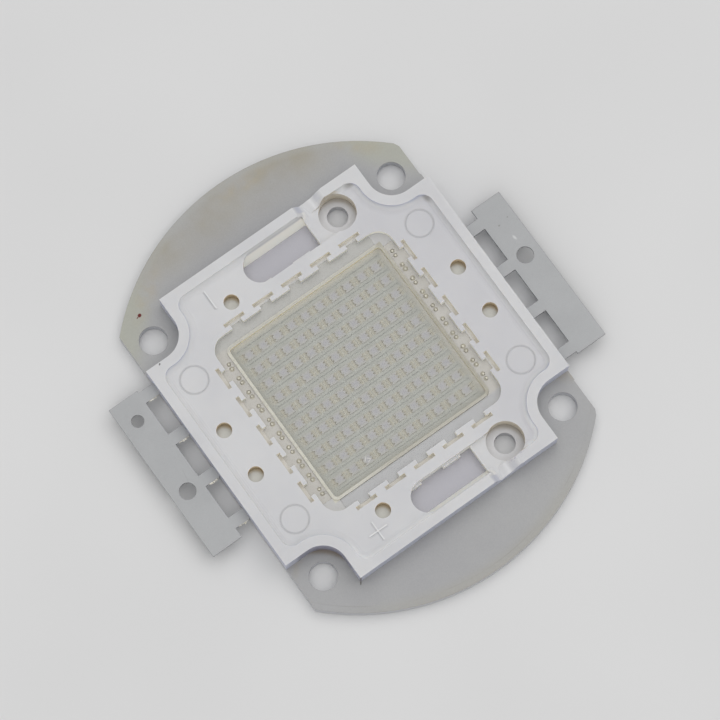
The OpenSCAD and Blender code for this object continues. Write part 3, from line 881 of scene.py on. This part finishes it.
def torn_edge(x):
    """How far in the torn slope reaches at a place: to its line, or to the lens opening."""
    across = max(0.0, (lens_r + lens_gap) ** 2 - (x - lens_at[0]) ** 2)
    return max(torn_in, lens_at[1] + math.sqrt(across))


def torn_height(x, y):
    """The torn slope's height: a slanting step, then a lumpy rise to the rim."""
    coarse, fine = lump_scales
    lump = noise.noise(Vector((coarse * x, coarse * y, 0.5)))
    lump += fine_share * noise.noise(Vector((fine * x, fine * y, 1)))
    lumpy = rise(x, *lumps_from) * (1 - rise(x, *lumps_to))
    step = step_h * rise(x, torn_x[0] + torn_slant * (frame_half - y), step_x)
    level = step + (gate_rise - step_h) * rise(x, step_x, crest_x) + lump_h * lump * lumpy
    return gate_foot + min(level, gate_rise)


def round_height(x, y):
    """The round slope's height: from the rim down to the gate's floor."""
    return gate_foot + gate_rise * (1 - rise(x, *round_x)) * rise(y, *round_y)


def gate_tears(material):
    """Each gate's torn slope, where the moulding's feed broke away, and the round slope across from it."""
    shape = bmesh.new()
    for side in (1, -1):
        moulded_patch(shape, side, torn_x, torn_edge, torn_height)
        by_window = (round_start, window_x[1] + embed)
        moulded_patch(shape, side, by_window, lambda x: window_y[1] + embed, round_height)
        past_window = (window_x[1] - 2 * embed, round_x[1])
        moulded_patch(shape, side, past_window, lambda x: round_y[0], round_height)
    add_piece("gate_tears", shape, material, gate_smooth)


def dress(node, material, edge=None):
    """A node's own solid with a finish, and its edges rounded by a radius in millimetres."""
    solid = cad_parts[node]
    solid.data.materials.clear()
    solid.data.materials.append(material)
    if edge:
        weld = solid.modifiers.new("weld", "WELD")
        weld.merge_threshold = weld_gap * MM
        flat = solid.modifiers.new("flat", "DECIMATE")
        flat.decimate_type = "DISSOLVE"
        flat.angle_limit = math.radians(flat_below)
        bevel = solid.modifiers.new("edges", "BEVEL")
        bevel.width = edge * MM
        bevel.segments = 2
        bevel.limit_method = "ANGLE"
        bevel.angle_limit = math.radians(round_above)
        bevel.harden_normals = True


# The object

base = plated_base()
moulding = white_moulding("white_moulding", 1.0)
lead = plated_lead()
chip = emitter_chip()
gold = gold_wire()
dress("base_plate", base, base_edge)
dress("frame", moulding, frame_edge)
dress("negative_lead", lead, lead_edge)
dress("positive_lead", lead, lead_edge)
for node in chip_rows:
    dress(node, chip)
for node in wire_rows:
    dress(node, gold)
silicone_fill(clear_silicone())
bond = gold_bond()
ball_bonds(bond)
stitch_bonds(bond)
shear_burrs(torn_metal())
gate_tears(white_moulding("torn_moulding", 0.0))


# Stage

def stage_floor():
    """A plain pale floor, open from below so that the underside can be looked at."""
    reach = 2.0
    level = -0.05 * MM
    mesh = bpy.data.meshes.new("floor")
    corners = [(x * reach, y * reach, level) for x, y in ((-1, -1), (1, -1), (1, 1), (-1, 1))]
    mesh.from_pydata(corners, [], [(0, 1, 2, 3)])
    f = Finish("floor")
    tone = f.mix(f.ramp(f.noise(0.02, 2), 0.3, 0.7), paint(214, 214, 214), paint(218, 218, 218))
    f.set(Base_Color=tone, Roughness=0.8)
    f.show(f.mix_shader(f.back, f.shader.outputs[0], f.node("BsdfTransparent").outputs[0]))
    mesh.materials.append(f.material)
    floor = bpy.data.objects.new("floor", mesh)
    bpy.context.scene.collection.objects.link(floor)


def lamp(name, toward, distance, width, power):
    """A soft square lamp in a direction from the object, aimed at it."""
    light = bpy.data.lights.new(name, "AREA")
    light.size = width
    light.energy = power
    placed = bpy.data.objects.new(name, light)
    placed.location = Vector(toward).normalized() * distance
    placed.rotation_euler = Vector(toward).to_track_quat("Z", "Y").to_euler()
    placed.visible_camera = False
    bpy.context.scene.collection.objects.link(placed)


def room_light(strength, seen):
    """Even light from all round, and a plain pale backdrop for the eye, metal and glass."""
    world = bpy.data.worlds.new("room")
    world.use_nodes = True
    nodes = world.node_tree.nodes
    links = world.node_tree.links
    background = nodes["Background"]
    path = nodes.new("ShaderNodeLightPath")
    pick = nodes.new("ShaderNodeMapRange")
    shown = path.outputs["Is Camera Ray"]
    for kind in ("Is Glossy Ray", "Is Transmission Ray"):
        either = nodes.new("ShaderNodeMath")
        either.operation = "MAXIMUM"
        links.new(shown, either.inputs[0])
        links.new(path.outputs[kind], either.inputs[1])
        shown = either.outputs[0]
    links.new(shown, pick.inputs["Value"])
    pick.inputs["To Min"].default_value = strength
    pick.inputs["To Max"].default_value = seen
    links.new(pick.outputs[0], background.inputs["Strength"])
    background.inputs["Color"].default_value = (1.0, 1.0, 1.0, 1.0)
    bpy.context.scene.world = world


def photo_camera(azimuth, elevation, roll, aim, distance, lens):
    """The camera on a line from aim, at angles in degrees: azimuth 0 looks along +Y."""
    a, e = math.radians(azimuth), math.radians(elevation)
    back = Vector((math.sin(a) * math.cos(e), -math.cos(a) * math.cos(e), math.sin(e)))
    data = bpy.data.cameras.new("camera")
    data.lens = lens
    data.clip_start = 0.01
    camera = bpy.data.objects.new("camera", data)
    turn = (-back).to_track_quat("-Z", "Y").to_matrix() @ Matrix.Rotation(math.radians(roll), 3, "Z")
    camera.matrix_world = Matrix.Translation(Vector(aim) + back * distance) @ turn.to_4x4()
    bpy.context.scene.collection.objects.link(camera)
    bpy.context.scene.camera = camera


stage_floor()
room_light(strength=0.45, seen=0.72)
lamp("overhead", toward=(0.2, 0.1, 0.97), distance=1.0, width=1.4, power=7.1)
lamp("fill", toward=(-0.45, -0.6, 0.66), distance=1.0, width=0.9, power=1.5)
photo_camera(azimuth=-35.0, elevation=77.55, roll=-0.62,
             aim=(1.155 * MM, 1.15 * MM, 1.5 * MM), distance=411.7 * MM, lens=177.5)
bpy.context.scene.view_settings.view_transform = "Standard"
